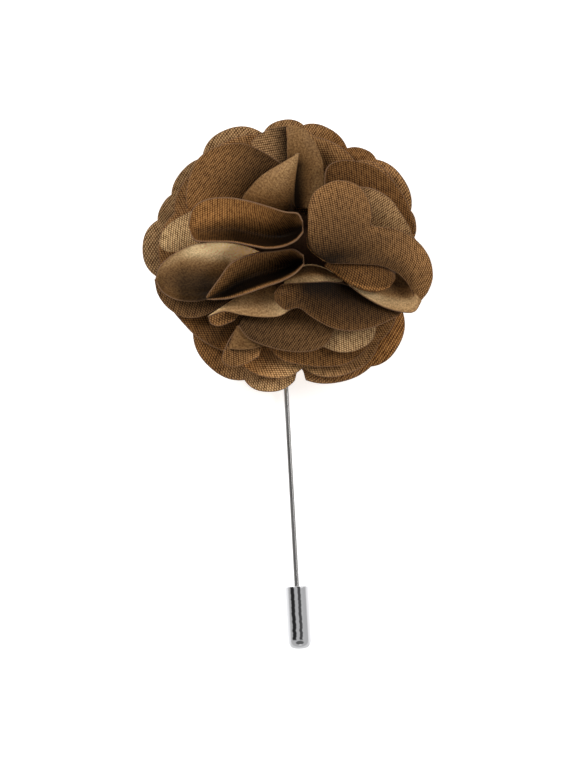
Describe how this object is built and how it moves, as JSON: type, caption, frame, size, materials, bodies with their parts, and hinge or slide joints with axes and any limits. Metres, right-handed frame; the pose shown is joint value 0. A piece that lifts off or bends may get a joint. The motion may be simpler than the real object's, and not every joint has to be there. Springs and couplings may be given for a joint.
{
  "type": "flower lapel pin",
  "caption": "Ruffled satin flower on a round felt backing, with a straight steel stick pin through the backing and a polished pull-off cap over its point.",
  "frame": {"origin": "centre of the backing's rear face, which lies on the floor, below the needle's line", "axes": "+Z out of the flower's face, -Y along the needle to its point, +X to the right seen from the front"},
  "size_m": [0.0503, 0.0922, 0.0236],
  "materials": {
    "satin_face": "woven satin, brown face with a tan fleck",
    "satin_reverse": "smooth tan satin reverse",
    "felt": "dark brown felt",
    "steel": "drawn bright steel wire",
    "chrome": "polished chrome"
  },
  "bodies": {
    "flower": {"backing": "felt", "needle": "steel", "core": "satin_face", "disc_back": "satin_face", "disc_front": "satin_face", "petal_right": "satin_face", "petal_right_tongue": "satin_face", "petal_right_turn": "satin_reverse", "petal_right_mid": "satin_face", "petal_right_back": "satin_face", "petal_top_turn": "satin_reverse", "petal_top": "satin_face", "petal_spike": "satin_reverse", "petal_upper_left": "satin_face", "petal_left_small": "satin_face", "petal_upper_scoop": "satin_face", "petal_left_scoop": "satin_reverse", "petal_left_under": "satin_face", "petal_pocket": "satin_face", "petal_lower_turn": "satin_reverse", "petal_lower_small": "satin_face", "petal_lower_right": "satin_face", "petal_lower_strip": "satin_reverse", "petal_bottom_front": "satin_face", "petal_bottom_light": "satin_face", "petal_bottom_mid": "satin_face", "petal_bottom_fold": "satin_face"},
    "cap": {"cap": "chrome"}
  },
  "joints": [
    {"name": "cap_slide", "type": "slide", "parent": "flower", "child": "cap", "axis": [0, -1, 0], "range_m": [0, 0.03]}
  ]
}
